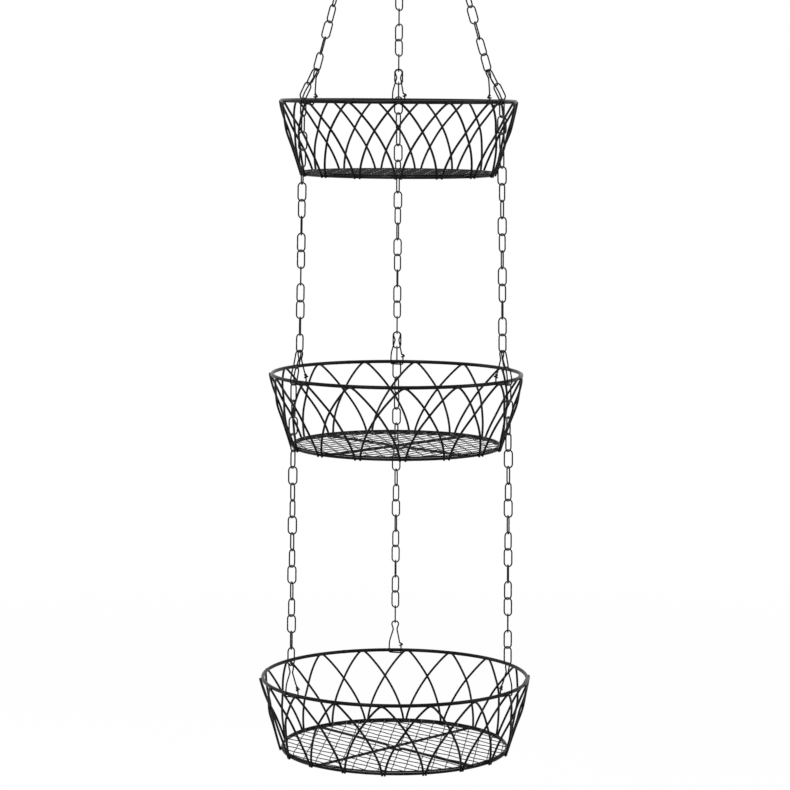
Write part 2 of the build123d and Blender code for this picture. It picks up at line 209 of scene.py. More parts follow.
def turned_along(points, first):
    """A reference direction for each point of a line that turns every way. The first one is handed
    on from point to point, and each time made square to the run again."""
    run = unit(np.gradient(points, axis=0))
    references = [first]
    for direction in run:
        carried = references[-1] - direction * (direction @ references[-1])
        references.append(unit(carried))
    return np.array(references[1:])


def straight_points(start, end, step=2.5):
    """Evenly spaced points from start to end, both included."""
    count = max(2, int(np.ceil(np.linalg.norm(end - start) / step)) + 1)
    return start + (end - start) * np.linspace(0, 1, count)[:, None]


# %% [markdown]
# The wire is mild steel with a black coat. The baskets are powder coated: dry powder is
# sprayed on and melted, which leaves a thick satin film with a faint orange-peel swell. The
# chains are dipped, so their film is thinner and a little glossier, and it rubs off where one
# link hangs in the next. Both are the same few nodes with other values.

# %% Coats
SATIN_BLACK = "#0b0b0d"
DIPPED_BLACK = "#08090a"
DUST_GREY = "#242526"
RUBBED_STEEL = "#6d6c69"
PEEL_WAVE = 1.4             # millimetres from swell to swell, drawn coarser than the real 0.8
PEEL_HEIGHT = 0.02
PEEL_STRENGTH = 0.5
PEEL_RANGE = (0.3, 0.7)     # the noise values between which the roughness follows the swell
PEEL_ROUGHNESS = (-0.05, 0.06)
DUST_PATCH = 45.0
DUST_RANGE = (0.5, 0.8)     # the noise values from which dust starts and is at its thickest
DUST_SHARE = 0.12
POWDER_ROUGHNESS = 0.28
DIP_ROUGHNESS = 0.26
DIP_RUB_SHARE = 0.4
COAT_IOR = 1.4
COAT_SHINE = 0.1            # low, because thin wire shows mostly its edges, which mirror strongly


def linear(colour):
    """An sRGB hex colour as Blender's linear colour with full alpha."""
    values = np.array([int(colour[place:place + 2], 16) for place in (1, 3, 5)]) / 255
    values = np.where(values <= 0.04045, values / 12.92, ((values + 0.055) / 1.055) ** 2.4)
    return (*values.tolist(), 1.0)


def add_node(tree, kind, inputs=None, **settings):
    """A new node with its settings. An input is a value, or the output that it is linked to."""
    new = tree.nodes.new(kind)
    for name, value in settings.items():
        setattr(new, name, value)
    for name, value in (inputs or {}).items():
        if isinstance(value, bpy.types.NodeSocket):
            tree.links.new(value, new.inputs[name])
        else:
            new.inputs[name].default_value = value
    return new


def black_coat(name, colour, roughness, rub_share):
    """Steel wire under a black film. Dust patches lighten it, a fine swell bends its highlights,
    and the rub attribute bares the steel where pieces touch."""
    material = bpy.data.materials.new(name)
    material.use_nodes = True
    tree = material.node_tree
    shader = tree.nodes["Principled BSDF"]
    place = add_node(tree, "ShaderNodeTexCoord").outputs["Object"]
    peel = add_node(tree, "ShaderNodeTexNoise", {"Vector": place, "Scale": 1 / (PEEL_WAVE * MM),
                                                 "Detail": 1.5, "Roughness": 0.5})
    dust = add_node(tree, "ShaderNodeTexNoise", {"Vector": place, "Scale": 1 / (DUST_PATCH * MM),
                                                 "Detail": 3.0, "Roughness": 0.6})
    dust_amount = add_node(tree, "ShaderNodeMapRange", {
        "Value": dust.outputs["Fac"], "From Min": DUST_RANGE[0], "From Max": DUST_RANGE[1],
        "To Min": 0.0, "To Max": DUST_SHARE})
    dusty = add_node(tree, "ShaderNodeMix", {
        "Factor": dust_amount.outputs["Result"], "A": linear(colour), "B": linear(DUST_GREY)},
        data_type="RGBA")
    roughness_range = add_node(tree, "ShaderNodeMapRange", {
        "Value": peel.outputs["Fac"], "From Min": PEEL_RANGE[0], "From Max": PEEL_RANGE[1],
        "To Min": roughness + PEEL_ROUGHNESS[0], "To Max": roughness + PEEL_ROUGHNESS[1]})
    final_colour = dusty.outputs["Result"]
    final_roughness = roughness_range.outputs["Result"]
    if rub_share:
        rub = add_node(tree, "ShaderNodeAttribute", attribute_name="rub")
        worn = add_node(tree, "ShaderNodeMapRange", {
            "Value": rub.outputs["Fac"], "From Min": 0.0, "From Max": 1.0,
            "To Min": 0.0, "To Max": rub_share})
        bared = add_node(tree, "ShaderNodeMix", {
            "Factor": worn.outputs["Result"], "A": final_colour, "B": linear(RUBBED_STEEL)},
            data_type="RGBA")
        final_colour = bared.outputs["Result"]
    swell = add_node(tree, "ShaderNodeBump", {
        "Height": peel.outputs["Fac"], "Strength": PEEL_STRENGTH, "Distance": PEEL_HEIGHT * MM})
    tree.links.new(final_colour, shader.inputs["Base Color"])
    tree.links.new(final_roughness, shader.inputs["Roughness"])
    tree.links.new(swell.outputs["Normal"], shader.inputs["Normal"])
    shader.inputs["IOR"].default_value = COAT_IOR
    shader.inputs["Specular IOR Level"].default_value = COAT_SHINE
    return material


powder_coat = black_coat("black_powder_coat_on_steel", SATIN_BLACK, POWDER_ROUGHNESS, 0.0)
dipped_coat = black_coat("black_dip_coat_on_steel", DIPPED_BLACK, DIP_ROUGHNESS, DIP_RUB_SHARE)
print("coats:", powder_coat.name, dipped_coat.name)

# %% [markdown]
# Each tier is a tapered basket. The rim, the base ring and the mesh's edge ring are hoops: wire
# rolled round and butt welded, so each has one small swelling at the weld. Their sizes come
# from the frame: a level ring's box is as high as its wire and as wide as its outside.

# %% Rings
SEAM_SWELL = 0.09
SEAM_LENGTH = 1.3
SEAM_REACH = 1.5            # degrees either side of the weld that get extra points
SEAM_POINTS = 9
SEAM_ANGLE = {"rim": 203.7, "base_ring": 161.2, "floor_edge_ring": 97.3}
SIDES_OF_WIRE = {"rim": 16, "base_ring": 16, "floor_edge_ring": 12}
RING_STEP = 2.4


def ring_size(node):
    """The centreline radius, the wire's radius and the level of a level ring in the frame."""
    low, high = box_mm(node)
    wire = high[2] - low[2]
    return (high[0] - low[0] - wire) / 2, wire / 2, (high[2] + low[2]) / 2


def ring_skin(radius, wire_radius, level, seam_angle, sides):
    """A circle at one level. The wire swells as a bell curve round its butt weld."""
    count = int(2 * np.pi * radius / RING_STEP)
    angle = np.linspace(0, 360, count, endpoint=False)
    near_seam = seam_angle + np.linspace(-1, 1, SEAM_POINTS) * SEAM_REACH
    angle = np.sort(np.concatenate([angle, near_seam]))
    from_seam = np.radians(angle - seam_angle) * radius
    swell = 1 + SEAM_SWELL * np.exp(-(from_seam / SEAM_LENGTH) ** 2)
    points = outward(angle) * radius + UP * level
    return wire_skin(points, UP, wire_radius * swell, closed=True, sides=sides)


RIM = {tier: ring_size(f"{tier}_rim") for tier in TIERS}
BASE = {tier: ring_size(f"{tier}_base_ring") for tier in TIERS}
EDGE = {tier: ring_size(f"{tier}_floor_edge_ring") for tier in TIERS}
for tier in TIERS:
    sizes = {"rim": RIM[tier], "base_ring": BASE[tier], "floor_edge_ring": EDGE[tier]}
    for name, size in sizes.items():
        skin = ring_skin(*size, SEAM_ANGLE[name], SIDES_OF_WIRE[name])
        wire_piece(f"{tier}_{name}", [skin], powder_coat)
    print(tier, "rim radius", round(RIM[tier][0], 1), "level", round(RIM[tier][2], 1))

# %% [markdown]
# The sides are pointed arches welded round the outside. A leg leaves the tip slanting and
# meets the base nearly upright, so its angle from the tip grows as 1 - (1 - depth) ** 1.5. Where
# two arches cross, one leg bulges out and the other in, just enough to clear. The tip itself is
# bent round a small pin, and a square root rounds the corner off in the same way.

# %% Pointed arches
ARCH_WIRE = 2.5
ARCH_COUNT = {"upper": 15, "middle": 15, "lower": 18}
FIRST_ARCH = {"upper": 0.0, "middle": 3.3, "lower": -5.3}
FOOT_GAP = {"upper": 6.0, "middle": 6.0, "lower": 2.8}
CURVE_POWER = 1.5
CROSSING_SHARE = 0.40
CROSSING_WIDTH_SHARE = 0.16
CROSSING_BULGE = 1.32
FOOT_OVERRUN = 1.6
TIP_ROUNDING_SHARE = 0.05
POINT_CROWDING = 1.25       # a power above 1 puts more of a line's points near its tip
TIP_BEAD = (2.6, 0.9, 1.1)  # a weld bead's half sizes along its run, outwards and across
TIP_BEAD_DROP = 0.9
FOOT_BEAD = (1.5, 0.8, 1.5)
BEAD_POLE = 0.12            # radians from a bead's pole to its first circle


def arch_line(tier, apex_angle, count=121):
    """A position p runs from -1 at one foot to 1 at the other. The share of the depth is
    sqrt(p ** 2 + e ** 2) - e over its largest value, which rounds the tip, and the angle from
    the tip is foot_angle * (1 - (1 - |p|) ** 1.5)."""
    rim_radius, rim_wire, rim_level = RIM[tier]
    base_radius, base_wire, base_level = BASE[tier]
    height = rim_level - base_level
    taper = np.arctan2(rim_radius - base_radius, height)
    at_rim = rim_radius + (rim_wire + ARCH_WIRE / 2 - WELD_BITE) / np.cos(taper)
    at_base = base_radius + (base_wire + ARCH_WIRE / 2 - WELD_BITE) / np.cos(taper)
    foot_angle = 360 / ARCH_COUNT[tier] - np.degrees(FOOT_GAP[tier] / 2 / at_base)
    tip_depth = (rim_wire + ARCH_WIRE / 2 - WELD_BITE) * np.sin(taper)
    position = np.linspace(-1, 1, count)
    position = np.sign(position) * np.abs(position) ** POINT_CROWDING
    rounding = TIP_ROUNDING_SHARE
    share = np.sqrt(position ** 2 + rounding ** 2) - rounding
    share = share / share.max()
    angle = foot_angle * np.sign(position) * (1 - (1 - np.abs(position)) ** CURVE_POWER)
    bulge = np.exp(-((share - CROSSING_SHARE) / CROSSING_WIDTH_SHARE) ** 2)
    depth = tip_depth + (height + FOOT_OVERRUN - tip_depth) * share
    slant = at_rim + (at_base - at_rim) * depth / height
    radius = slant - np.sign(position) * CROSSING_BULGE * bulge
    return outward(apex_angle + angle) * radius[:, None] + UP * (rim_level - depth)[:, None]


def weld_bead(centre, run, proud, size, rows=7, sides=10):
    """A small egg of melted steel: a sphere stretched along the run and flattened outwards."""
    across = np.cross(run, proud)
    angle = np.linspace(BEAD_POLE, np.pi - BEAD_POLE, rows)[:, None, None]
    turn = np.linspace(0, 2 * np.pi, sides, endpoint=False)[None, :, None]
    round_it = proud * size[1] * np.cos(turn) + across * size[2] * np.sin(turn)
    return centre - run * size[0] * np.cos(angle) + round_it * np.sin(angle), False


def arch_beads(tier, apex_angle, line):
    """Beads where an arch's tip meets the rim and where both feet meet the base ring."""
    beads = []
    rim_radius, rim_wire, rim_level = RIM[tier]
    tip = outward(apex_angle) * (rim_radius + rim_wire) + UP * (rim_level - TIP_BEAD_DROP)
    beads.append(weld_bead(tip, along(apex_angle), outward(apex_angle), TIP_BEAD))
    base_radius, base_wire, base_level = BASE[tier]
    for end in (line[0], line[-1]):
        angle = np.degrees(np.arctan2(end[0], -end[1]))
        spot = outward(angle) * (base_radius + base_wire) + UP * base_level
        beads.append(weld_bead(spot, UP, outward(angle), FOOT_BEAD))
    return beads


for tier in TIERS:
    step = 360 / ARCH_COUNT[tier]
    skins = []
    for index in range(ARCH_COUNT[tier]):
        apex_angle = FIRST_ARCH[tier] + step * index
        line = arch_line(tier, apex_angle)
        away = unit(line * [1, 1, 0])
        skins.append(wire_skin(line, away, ARCH_WIRE / 2))
        skins += arch_beads(tier, apex_angle, line)
    wire_piece(f"{tier}_side_arches", skins, powder_coat)
    print(tier, "arches", ARCH_COUNT[tier])

# %% [markdown]
# The floor is a woven mesh: wires in two directions, each crimped so that it passes over one
# neighbour and under the next. A crimped wire is a wave whose crests stand where the other set
# crosses, so the wave is a cosine of the distance counted in crossings, and its sign changes
# from wire to wire. The set that the weaver pulls straight waves less than the other.

# %% Floor mesh
MESH_WIRE = 1.1
SPACING = {"lengthwise": 14.3, "crosswise": 12.4}
MESH_ANGLE = {
    "upper": {"lengthwise": 85.0, "crosswise": -45.0},
    "middle": {"lengthwise": 102.0, "crosswise": 48.0},
    "lower": {"lengthwise": 85.0, "crosswise": -45.0},
}
WAVE = {"lengthwise": 0.78, "crosswise": -0.30}
OTHER_SET = {"lengthwise": "crosswise", "crosswise": "lengthwise"}
MESH_RISE = 2.62            # the weave's middle above the base ring's centreline
MESH_SHORTEST = 24.0
MESH_STEP = 1.3
MESH_END_SHARE = 0.6        # of the edge wire's radius, from its centreline in to a mesh wire's end


def mesh_skins(tier, which):
    """Parallel wires across the edge ring. Height = middle + wave * sign * cos(pi * distance /
    spacing), where the distance is counted across the other set of wires."""
    radius, edge_wire, _ = EDGE[tier]
    inside = radius - edge_wire * MESH_END_SHARE
    middle = BASE[tier][2] + MESH_RISE
    spacing = SPACING[which]
    other_spacing = SPACING[OTHER_SET[which]]
    run = along(MESH_ANGLE[tier][which])
    across = along(MESH_ANGLE[tier][which] + 90)
    other_across = along(MESH_ANGLE[tier][OTHER_SET[which]] + 90)
    skins = []
    count = int(np.ceil(inside / spacing))
    for index in range(-count, count):
        place = (index + 0.5) * spacing
        if abs(place) + MESH_WIRE / 2 >= inside:
            continue
        half_length = np.sqrt(inside ** 2 - (abs(place) + MESH_WIRE / 2) ** 2)
        if 2 * half_length < MESH_SHORTEST:
            continue
        travel = np.linspace(-half_length, half_length, int(2 * half_length / MESH_STEP) + 2)
        points = across * place + run * travel[:, None]
        distance = points @ other_across
        sign = (-1) ** index
        wave = WAVE[which] * sign * np.cos(np.pi * (distance / other_spacing - 0.5))
        points = points + UP * (middle + wave)[:, None]
        skins.append(wire_skin(points, UP, MESH_WIRE / 2, sides=8))
    return skins


for tier in TIERS:
    for which in SPACING:
        skins = mesh_skins(tier, which)
        wire_piece(f"{tier}_floor_mesh_{which}", skins, powder_coat)
        print(tier, which, "mesh wires", len(skins))

# %% [markdown]
# Two stiffer wires cross under each floor and carry it. They are welded inside the base ring,
# and one of them dips under the other where they meet.

# %% Floor supports
SUPPORT_WIRE = 3.0
SUPPORT_ANGLE = 47.0
JOGGLE_START = 14.0
JOGGLE_END = 6.0
JOGGLE_RADIUS = 6.0
CROSSING_BEAD = (1.8, 0.9, 1.8)
SUPPORT_BEAD = (2.0, 0.9, 1.35)

for tier in TIERS:
    base_radius, base_wire, level = BASE[tier]
    reach = base_radius - base_wire + WELD_BITE
    dip = SUPPORT_WIRE - WELD_BITE
    centre = UP * level
    run = along(SUPPORT_ANGLE)
    straight = straight_points(centre - run * reach, centre + run * reach)
    skins = [wire_skin(straight, UP, SUPPORT_WIRE / 2)]
    beads = [weld_bead(centre - UP * dip / 2, run, UP, CROSSING_BEAD)]
    run = along(-SUPPORT_ANGLE)
    stops = [(-reach, 0), (-JOGGLE_START, 0), (-JOGGLE_END, -dip), (JOGGLE_END, -dip),
             (JOGGLE_START, 0), (reach, 0)]
    corners = [centre + run * place + UP * height for place, height in stops]
    skins.append(wire_skin(bent_line(corners, [JOGGLE_RADIUS] * 4), UP, SUPPORT_WIRE / 2))
    for angle in (SUPPORT_ANGLE, -SUPPORT_ANGLE):
        for sign in (-1, 1):
            toward = sign * along(angle)
            spot = centre + toward * reach
            beads.append(weld_bead(spot, np.cross(UP, toward), toward, SUPPORT_BEAD))
    wire_piece(f"{tier}_floor_supports", skins + beads, powder_coat)

# %% [markdown]
# Chain links are oval rings of thin wire, cut, bent and pushed shut, so one straight side of each
# shows a fine butt line. Each link hangs in the one above at a seat, and the chain was twisted a
# little as it was made, so every link is turned by about 62 degrees from the last.

# %% Chain links
LINK_WIRE = 1.6
LINK_WIDTH = 10.4
LINK_PITCH = 18.0
USUAL_TURN = 62.0
BUTT_DEPTH_SHARE = 0.2
BUTT_LENGTH = 0.28
BUTT_FINE = 0.6             # the points stand close together this far from the butt line
BUTT_COARSE = 1.2           # and far apart from here
BUTT_POINTS = 9
BESIDE_BUTT_POINTS = 4
LINK_BEND_POINTS = 16
LINK_RUN_POINTS = 8
RUB_REACH = 2.4
LINK_BEND = (LINK_WIDTH - LINK_WIRE) / 2
LINK_HALF_RUN = (LINK_PITCH + LINK_WIRE + HINGE_GAP) / 2 - LINK_BEND
SEAT_STEP = (LINK_WIRE + HINGE_GAP) / 2
END_DEPTH = LINK_BEND - SEAT_STEP


def link_skin(centre, width, up, sides=12):
    """Two half circles joined by two straight runs, in the plane of width and up. The wire is
    pinched as a bell curve at the butt line, halfway down one run."""
    bend = np.linspace(0, np.pi, LINK_BEND_POINTS, endpoint=False)
    run = np.linspace(-1, 1, LINK_RUN_POINTS, endpoint=False)
    seam = np.concatenate([np.linspace(-LINK_HALF_RUN, -BUTT_COARSE, BESIDE_BUTT_POINTS),
                           np.linspace(-BUTT_FINE, BUTT_FINE, BUTT_POINTS),
                           np.linspace(BUTT_COARSE, LINK_HALF_RUN, BESIDE_BUTT_POINTS)[:-1]])
    across = np.concatenate([LINK_BEND * np.cos(bend), -LINK_BEND + 0 * run,
                             -LINK_BEND * np.cos(bend), LINK_BEND + 0 * seam])
    rise = np.concatenate([LINK_HALF_RUN + LINK_BEND * np.sin(bend), -LINK_HALF_RUN * run,
                           -LINK_HALF_RUN - LINK_BEND * np.sin(bend), seam])
    points = centre + width * across[:, None] + up * rise[:, None]
    pinch = np.zeros(len(points))
    pinch[-len(seam):] = np.exp(-(seam / BUTT_LENGTH) ** 2)
    radius = LINK_WIRE / 2 * (1 - BUTT_DEPTH_SHARE * pinch)
    return wire_skin(points, np.cross(width, up), radius, closed=True, sides=sides)


def chain_skins(top_seat, up, face, count, first_turn, turn_step):
    """Links one pitch apart down from a seat. Also gives the seats, where the coat rubs."""
    sideways = unit(face - up * (face @ up))
    depth = np.cross(sideways, up)
    skins = []
    for index in range(count):
        turn = np.radians(first_turn + index * turn_step)
        centre = top_seat - up * LINK_PITCH * (index + 0.5)
        skins.append(link_skin(centre, sideways * np.cos(turn) + depth * np.sin(turn), up))
    seats = top_seat - up * LINK_PITCH * np.arange(count + 1)[:, None]
    return skins, seats


def rub_near(seats):
    """A bell curve of the distance from the nearest seat: 1 where two links touch."""
    def amount(points):
        gaps = np.linalg.norm(points[:, None] - np.asarray(seats)[None], axis=2).min(1)
        return np.exp(-(gaps / RUB_REACH) ** 4)
    return amount


def chain_piece(node, skins, seats):
    """One run of links as a piece."""
    return wire_piece(node, skins, dipped_coat, rub_near(seats))


def even_turn(first_turn, last_turn, steps):
    """The step nearest to the usual one that turns links evenly from first to last."""
    half_turns = round((USUAL_TURN * steps - (last_turn - first_turn)) / 180)
    return (last_turn - first_turn + 180 * half_turns) / steps


# %% [markdown]
# The S-hook is two arcs and a straight shank between them, and the spot inside its upper bend is
# the frame's origin. The gathering ring stands upright in its lower bend, and three strands start
# side by side on the ring's wire.

# %% Hook and ring
HOOK_WIRE = 4.0
HOOK_UPPER_BEND = 14.0
HOOK_LOWER_BEND = 9.0
HOOK_SPACING = 36.0
HOOK_TIP_ANGLES = (196.0, 372.0)
HOOK_SIDES = 20
HOOK_STEPS = 45
RING_STEPS = 96
RING_WIRE = 4.0
RING_RADIUS = 14.0
STRAND_SPACING = 5.0

hook_upper = -(HOOK_UPPER_BEND - HOOK_WIRE / 2)
hook_lower = hook_upper - HOOK_SPACING
hook_lean = np.degrees(np.arcsin((HOOK_UPPER_BEND + HOOK_LOWER_BEND) / HOOK_SPACING))


def hook_arc(centre, radius, first, last):
    """An arc in the plane of Y and Z, by its first and last angle."""
    turn = np.radians(np.linspace(first, last, HOOK_STEPS))
    return np.stack([0 * turn, radius * np.cos(turn), centre + radius * np.sin(turn)], -1)


upper_arc = hook_arc(hook_upper, HOOK_UPPER_BEND, HOOK_TIP_ANGLES[0], -hook_lean)
lower_arc = hook_arc(hook_lower, HOOK_LOWER_BEND, 180 - hook_lean, HOOK_TIP_ANGLES[1])
shank = straight_points(upper_arc[-1], lower_arc[0])
hook_line = np.concatenate([upper_arc, shank[1:-1], lower_arc])
hook_skin = wire_skin(hook_line, np.array([1.0, 0, 0]), HOOK_WIRE / 2, sides=HOOK_SIDES)
ring_seat = [0, 0, hook_lower - HOOK_LOWER_BEND + HOOK_WIRE / 2]
wire_piece("top_hook", [hook_skin], dipped_coat, rub_near([[0, 0, 0], ring_seat]))

ring_low, ring_high = box_mm("top_ring")
ring_centre = (ring_low[2] + ring_high[2]) / 2
ring_turn = np.linspace(0, 2 * np.pi, RING_STEPS, endpoint=False)
ring_line = np.stack([RING_RADIUS * np.cos(ring_turn), 0 * ring_turn,
                      ring_centre + RING_RADIUS * np.sin(ring_turn)], -1)
top_ring_skin = wire_skin(ring_line, np.array([0, 1.0, 0]), RING_WIRE / 2, True, HOOK_SIDES)
wire_piece("top_ring", [top_ring_skin], dipped_coat, rub_near([[0, 0, ring_high[2]]]))


def ring_spot(side):
    """The centre of the ring's wire where a strand hangs on it."""
    offset = {"left": -STRAND_SPACING, "right": STRAND_SPACING, "back": 0.0}[side]
    return np.array([offset, 0, ring_centre - np.sqrt(RING_RADIUS ** 2 - offset ** 2)])


# %% [markdown]
# Where the chains run follows from the sizes, as it does in the workshop: the strands are counted
# in links, the two front ones end a set distance from the axis, and all three are equally long.

# %% Where the chains run
UPPER_LINKS = 19
LEAD_LINKS = 2
STRAND_LINKS = {"middle": 15, "lower": 17}
UPPER_HEAD_RADIUS = 116.5
STRAND_RADIUS = {"middle": 134.2, "lower": 146.7}
STRAND_LEAN = {"middle": 0.9, "lower": 0.5}
NEIGHBOUR_OFFSET = (LINK_WIRE + SIDE_GAP) / 2
RING_STEP_DOWN = (RING_WIRE + LINK_WIRE) / 2 + HINGE_GAP

strand_length = UPPER_LINKS * LINK_PITCH + SEAT_STEP - RING_STEP_DOWN
heads = {tier: {} for tier in TIERS}
right_head = outward(SIDES["right"]) * UPPER_HEAD_RADIUS
right_spread = np.linalg.norm((right_head - ring_spot("right"))[:2])
head_level = ring_spot("right")[2] - np.sqrt(strand_length ** 2 - right_spread ** 2)
for side, angle in SIDES.items():
    spot = ring_spot(side)
    forward = spot @ outward(angle)
    spread_squared = strand_length ** 2 - (spot[2] - head_level) ** 2
    distance = forward + np.sqrt(spread_squared - spot[0] ** 2 + forward ** 2)
    heads["upper"][side] = outward(angle) * distance + UP * head_level


def strand_up(tier, side):
    """The direction of the chain above a tier's clip."""
    if tier == "upper":
        return unit(ring_spot(side) - heads[tier][side])
    lean = np.radians(STRAND_LEAN[tier])
    return UP * np.cos(lean) - outward(SIDES[side]) * np.sin(lean)


def resting_wire(tier, side, offset):
    """The centre of a wire that rests in the last link of a strand, beside its middle."""
    up = strand_up(tier, side)
    away = outward(SIDES[side])
    away = unit(away - up * (away @ up))
    inner = LINK_BEND - LINK_WIRE - HINGE_GAP
    rise = END_DEPTH - np.sqrt(inner ** 2 - offset ** 2)
    return heads[tier][side] + up * rise + away * offset


# %% [markdown]
# Above the upper tier each strand starts across the ring's wire and ends edge-on to the basket.
# Below it, two lead links slant from the clip out over the rim. The next link lies flat beside the
# rim, and from it a link that swings, the strand and a last link hang down, spread very slightly
# because the next tier is wider.

# %% Hang the chains
for side, angle in SIDES.items():
    up = strand_up("upper", side)
    face = along(angle)
    sideways = unit(face - up * (face @ up))
    ring_face = np.array([0, 1.0, 0]) - up * up[1]
    first_turn = np.degrees(np.arctan2(ring_face @ np.cross(sideways, up), ring_face @ sideways))
    step = even_turn(first_turn, 90.0, UPPER_LINKS - 1)
    top_seat = ring_spot(side) + up * (RING_STEP_DOWN - SEAT_STEP)
    skins, seats = chain_skins(top_seat, up, face, UPPER_LINKS, first_turn, step)
    chain_piece(f"upper_chain_{side}", skins, seats)

for above, tier in (("upper", "middle"), ("middle", "lower")):
    front = resting_wire(above, "right", NEIGHBOUR_OFFSET)
    run = STRAND_RADIUS[tier] - front @ outward(SIDES["right"])
    lead_length = LEAD_LINKS * LINK_PITCH + SEAT_STEP - END_DEPTH
    slope = np.arcsin(run / lead_length)
    step = even_turn(0.0, 90.0, STRAND_LINKS[tier] - 1)
    for side, angle in SIDES.items():
        start = resting_wire(above, side, NEIGHBOUR_OFFSET)
        lead_up = UP * np.cos(slope) - outward(angle) * np.sin(slope)
        up = strand_up(tier, side)
        face = along(angle)
        lead_top = start - lead_up * SEAT_STEP
        lead, lead_seats = chain_skins(lead_top, lead_up, face, LEAD_LINKS, 0.0, 90.0)
        strand_top = start - lead_up * lead_length - up * END_DEPTH
        skins, seats = chain_skins(strand_top, up, face, STRAND_LINKS[tier], 0.0, step)
        lead_seats = np.concatenate([lead_seats, seats[:2]])
        chain_piece(f"{tier}_lead_links_{side}", lead + skins[:1], lead_seats)
        chain_piece(f"{tier}_first_link_{side}", skins[1:2], seats[1:3])
        chain_piece(f"{tier}_chain_{side}", skins[2:-1], seats[2:-1])
        chain_piece(f"{tier}_junction_link_{side}", skins[-1:], seats[-2:])
        heads[tier][side] = outward(angle) * (seats[-1] @ outward(angle)) + UP * seats[-1][2]
    hanging_radius = float(heads[tier]["right"] @ outward(SIDES["right"]))
    print(tier, "strands hang", round(hanging_radius, 1), "mm out")

# %% [markdown]
# A clip is one bent wire that ties a rim to its chain. It goes down on the inner side of the
# rim, crosses under it, comes up outside, narrows to a neck and turns round a head that hangs in
# the chain's last link. Its other end comes down and is hooked once round the first one.

# %% Clips
CLIP_WIRE = 1.6
CLIP_HEAD_WIDTH = 9.3
CLIP_NECK_WIDTH = 5.8
CLIP_FOOT_WIDTH = 15.6
CLIP_HEAD_HEIGHT = 8.0
CLIP_WAIST_WIDTH = 14.8
CLIP_WAIST_RISE = 10.0
CLIP_HEAD_RADIUS = 3.4
CLIP_NECK_RADIUS = 3.0
CLIP_WAIST_RADIUS = 30.0
CLIP_LATCH_RADIUS = 7.5     # of the waist above the hooked end
CLIP_FOOT_RADIUS = 1.5
CLIP_LATCH_RISE = 7.0
CLIP_END_OVERLAP = 4.4
CLIP_HOOK_TOP = 9.6
CLIP_CROSSING_RUN = 2.2
HOOKED_TURNS = 1.3
HOOKED_DROP = 4.2
HOOKED_EASE = 1.6
HOOKED_POINTS = 48


def clip_skins(tier, side):
    """One line in a plane that leans from the rim to the head. Its second end is hooked round
    its first: an angle of 2 * pi * turns * s ** 1.6 at a drop of s, so it leaves the straight leg
    without a kink and winds into a helix with the wires' skins just touching."""
    sideways_out = along(SIDES[side]) * (-1 if side == "left" else 1)
    rim_radius, rim_wire, rim_level = RIM[tier]
    rim_spot = outward(SIDES[side]) * rim_radius + UP * rim_level
    to_head = resting_wire(tier, side, 0.0 if tier == "lower" else -NEIGHBOUR_OFFSET) - rim_spot
    head_height = np.linalg.norm(to_head)
    up = to_head / head_height
    out = np.cross(along(SIDES[side]), up)
    beside_rim = rim_wire + CLIP_WIRE / 2 + SIDE_GAP
    under_rim = rim_wire + CLIP_WIRE / 2 - WELD_BITE
    foot, waist, neck, cheek = ((width - CLIP_WIRE) / 2 for width in (
        CLIP_FOOT_WIDTH, CLIP_WAIST_WIDTH, CLIP_NECK_WIDTH, CLIP_HEAD_WIDTH))

    def at(sideways, depth, height):
        return rim_spot + sideways_out * sideways + out * depth + up * height

    waist_depth = beside_rim * (1 - CLIP_WAIST_RISE / head_height)
    cheek_height = head_height - CLIP_HEAD_RADIUS - CLIP_WIRE / 2
    neck_height = head_height - (CLIP_HEAD_HEIGHT - CLIP_WIRE) - CLIP_NECK_RADIUS
    beside = CLIP_WIRE + HINGE_GAP / 2
    corners = [
        at(-foot, -beside_rim, CLIP_LATCH_RISE + CLIP_END_OVERLAP / 2),
        at(-foot, -beside_rim, -under_rim),
        at(foot - CLIP_CROSSING_RUN, 0, -under_rim),
        at(foot, beside_rim, -under_rim),
        at(waist, waist_depth, CLIP_WAIST_RISE),
        at(neck, 0, neck_height),
        at(cheek, 0, cheek_height),
        at(cheek, 0, head_height),
        at(-cheek, 0, head_height),
        at(-cheek, 0, cheek_height),
        at(-neck, 0, neck_height),
        at(-waist + beside, -waist_depth, CLIP_WAIST_RISE + CLIP_WIRE),
        at(-foot + beside, -beside_rim, CLIP_HOOK_TOP),
    ]
    radii = [CLIP_FOOT_RADIUS, CLIP_FOOT_RADIUS, CLIP_FOOT_RADIUS, CLIP_WAIST_RADIUS,
             CLIP_NECK_RADIUS, CLIP_NECK_RADIUS, CLIP_HEAD_RADIUS, CLIP_HEAD_RADIUS,
             CLIP_NECK_RADIUS, CLIP_NECK_RADIUS, CLIP_LATCH_RADIUS]
    share = np.linspace(0, 1, HOOKED_POINTS + 1)[1:, None]
    turn = 2 * np.pi * HOOKED_TURNS * share ** HOOKED_EASE
    hooked = at(-foot, -beside_rim, CLIP_HOOK_TOP) - up * HOOKED_DROP * share
    hooked = hooked + beside * (sideways_out * np.cos(turn) + out * np.sin(turn))
    line = np.concatenate([bent_line(corners, radii), hooked])
    return [wire_skin(line, turned_along(line, out), CLIP_WIRE / 2)]


for tier in TIERS:
    for side in SIDES:
        wire_piece(f"{tier}_clip_{side}", clip_skins(tier, side), powder_coat)

# %% [markdown]
# The studio is plain: a pale floor far below, a white world all round, one soft key lamp above the
# front, and weaker ones on each side and straight above. The black wire shows its roundness only
# through what it mirrors, and the lamps leave faint bright lines on the wires' tops.

